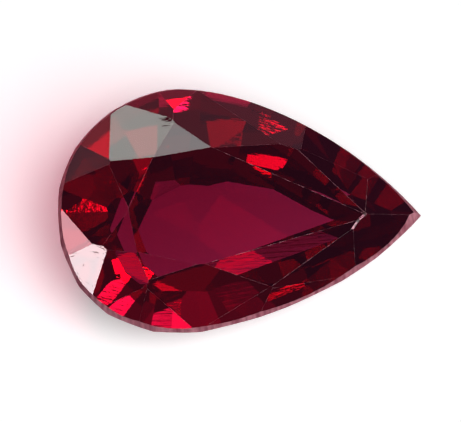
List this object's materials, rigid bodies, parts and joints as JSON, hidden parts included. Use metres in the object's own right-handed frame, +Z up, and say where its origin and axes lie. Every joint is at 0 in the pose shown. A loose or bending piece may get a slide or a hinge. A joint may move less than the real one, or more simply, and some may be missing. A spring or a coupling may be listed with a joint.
{
  "type": "pear-cut ruby",
  "caption": "Loose faceted pear-cut ruby gemstone, transparent red, lying on a facet of its pavilion.",
  "frame": {"origin": "centre of the footprint of the stone's box, on the surface that the stone lies on", "axes": "+X along the stone's length to its pointed tip, +Z up, -Z out of the facet it rests on; the table leans 20 degrees towards -Y"},
  "size_m": [0.009, 0.0058, 0.0036],
  "materials": {
    "ruby": "transparent red corundum, ground and polished to flat facets, with a finely ground matt girdle"
  },
  "bodies": {
    "root": {"ruby": "ruby"}
  },
  "joints": []
}
